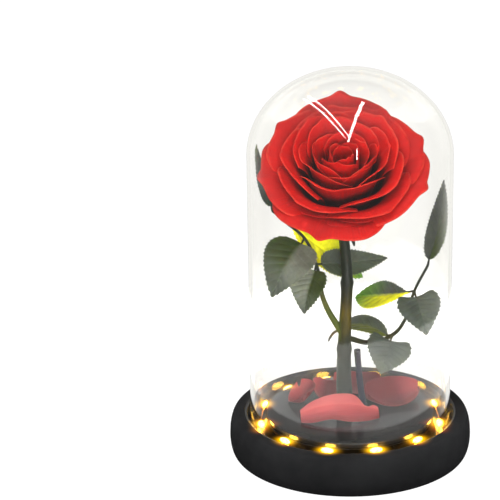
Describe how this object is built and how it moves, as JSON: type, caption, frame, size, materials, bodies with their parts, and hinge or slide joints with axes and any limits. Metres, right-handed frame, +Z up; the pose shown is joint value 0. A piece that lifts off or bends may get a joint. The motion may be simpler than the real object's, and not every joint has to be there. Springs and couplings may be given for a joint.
{
  "type": "preserved rose in glass dome",
  "caption": "Preserved red rose with leaves and fallen petals under a clear glass dome, on a round black base with warm string lights.",
  "frame": {"origin": "middle of the underside of the round base", "axes": "+Z up along the dome's axis, -Y towards the side the rose faces, +X to the right seen from that side"},
  "size_m": [0.14, 0.14, 0.2269],
  "materials": {
    "black_lacquered_wood": "satin black lacquer",
    "gloss_black_disc": "gloss",
    "black_plastic": "matte",
    "clear_glass": "clear and polished",
    "copper_wire": "drawn wire",
    "light_drop": "clear resin, lit warm white",
    "rose_stem": "preserved green stem",
    "red_petal": "velvety, a little translucent",
    "preserved_leaf": "preserved leaf with a soft sheen",
    "fallen_petal": "dry and a little faded"
  },
  "bodies": {
    "root": {"base": "black_lacquered_wood", "display_disc": "gloss_black_disc", "battery_lid": "black_plastic", "glass_dome": "clear_glass", "light_wire": "copper_wire", "light_01": "light_drop", "light_02": "light_drop", "light_03": "light_drop", "light_04": "light_drop", "light_05": "light_drop", "light_06": "light_drop", "light_07": "light_drop", "light_08": "light_drop", "light_09": "light_drop", "light_10": "light_drop", "light_11": "light_drop", "light_12": "light_drop", "stem": "rose_stem", "cut_side_shoot": "rose_stem", "petal_01": "red_petal", "petal_02": "red_petal", "petal_03": "red_petal", "petal_04": "red_petal", "petal_05": "red_petal", "petal_06": "red_petal", "petal_07": "red_petal", "petal_08": "red_petal", "petal_09": "red_petal", "petal_10": "red_petal", "petal_11": "red_petal", "petal_12": "red_petal", "petal_13": "red_petal", "petal_14": "red_petal", "petal_15": "red_petal", "petal_16": "red_petal", "petal_17": "red_petal", "petal_18": "red_petal", "petal_19": "red_petal", "petal_20": "red_petal", "petal_21": "red_petal", "petal_22": "red_petal", "petal_23": "red_petal", "calyx": "rose_stem", "leaflet_left_1": "preserved_leaf", "leaflet_left_2": "preserved_leaf", "leaflet_left_3": "preserved_leaf", "leaflet_left_4": "preserved_leaf", "leaflet_left_5": "preserved_leaf", "leaf_stalk_left": "rose_stem", "leaflet_right_1": "preserved_leaf", "leaflet_right_2": "preserved_leaf", "leaflet_right_3": "preserved_leaf", "leaflet_right_4": "preserved_leaf", "leaflet_right_5": "preserved_leaf", "leaf_stalk_right": "rose_stem", "fallen_petal_front": "fallen_petal", "fallen_petal_right": "fallen_petal", "fallen_petal_back": "fallen_petal", "fallen_petal_back_left": "fallen_petal", "fallen_petal_left": "fallen_petal"}
  },
  "joints": []
}
